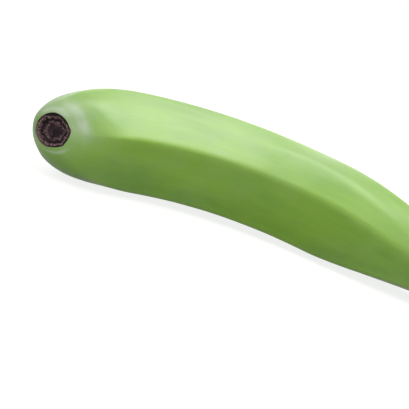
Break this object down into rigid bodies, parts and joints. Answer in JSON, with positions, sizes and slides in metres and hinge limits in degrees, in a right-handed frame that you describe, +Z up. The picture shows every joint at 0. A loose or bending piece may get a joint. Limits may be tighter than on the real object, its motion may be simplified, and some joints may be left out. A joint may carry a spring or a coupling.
{
  "type": "plantain",
  "caption": "Whole green plantain, lying on its side: a curved, ridged fruit with a round flower scar at its blunt end and a tapered neck ending in a cut stalk.",
  "frame": {"origin": "centre of the bounding box in X and Y, on the surface that the fruit rests on", "axes": "+Z up, +X along the fruit from the flower scar to the cut stalk, -Y towards the hollow side of the bend"},
  "size_m": [0.2812, 0.0754, 0.0485],
  "materials": {
    "peel": "satin, waxy"
  },
  "bodies": {
    "root": {"plantain": "peel"}
  },
  "joints": []
}
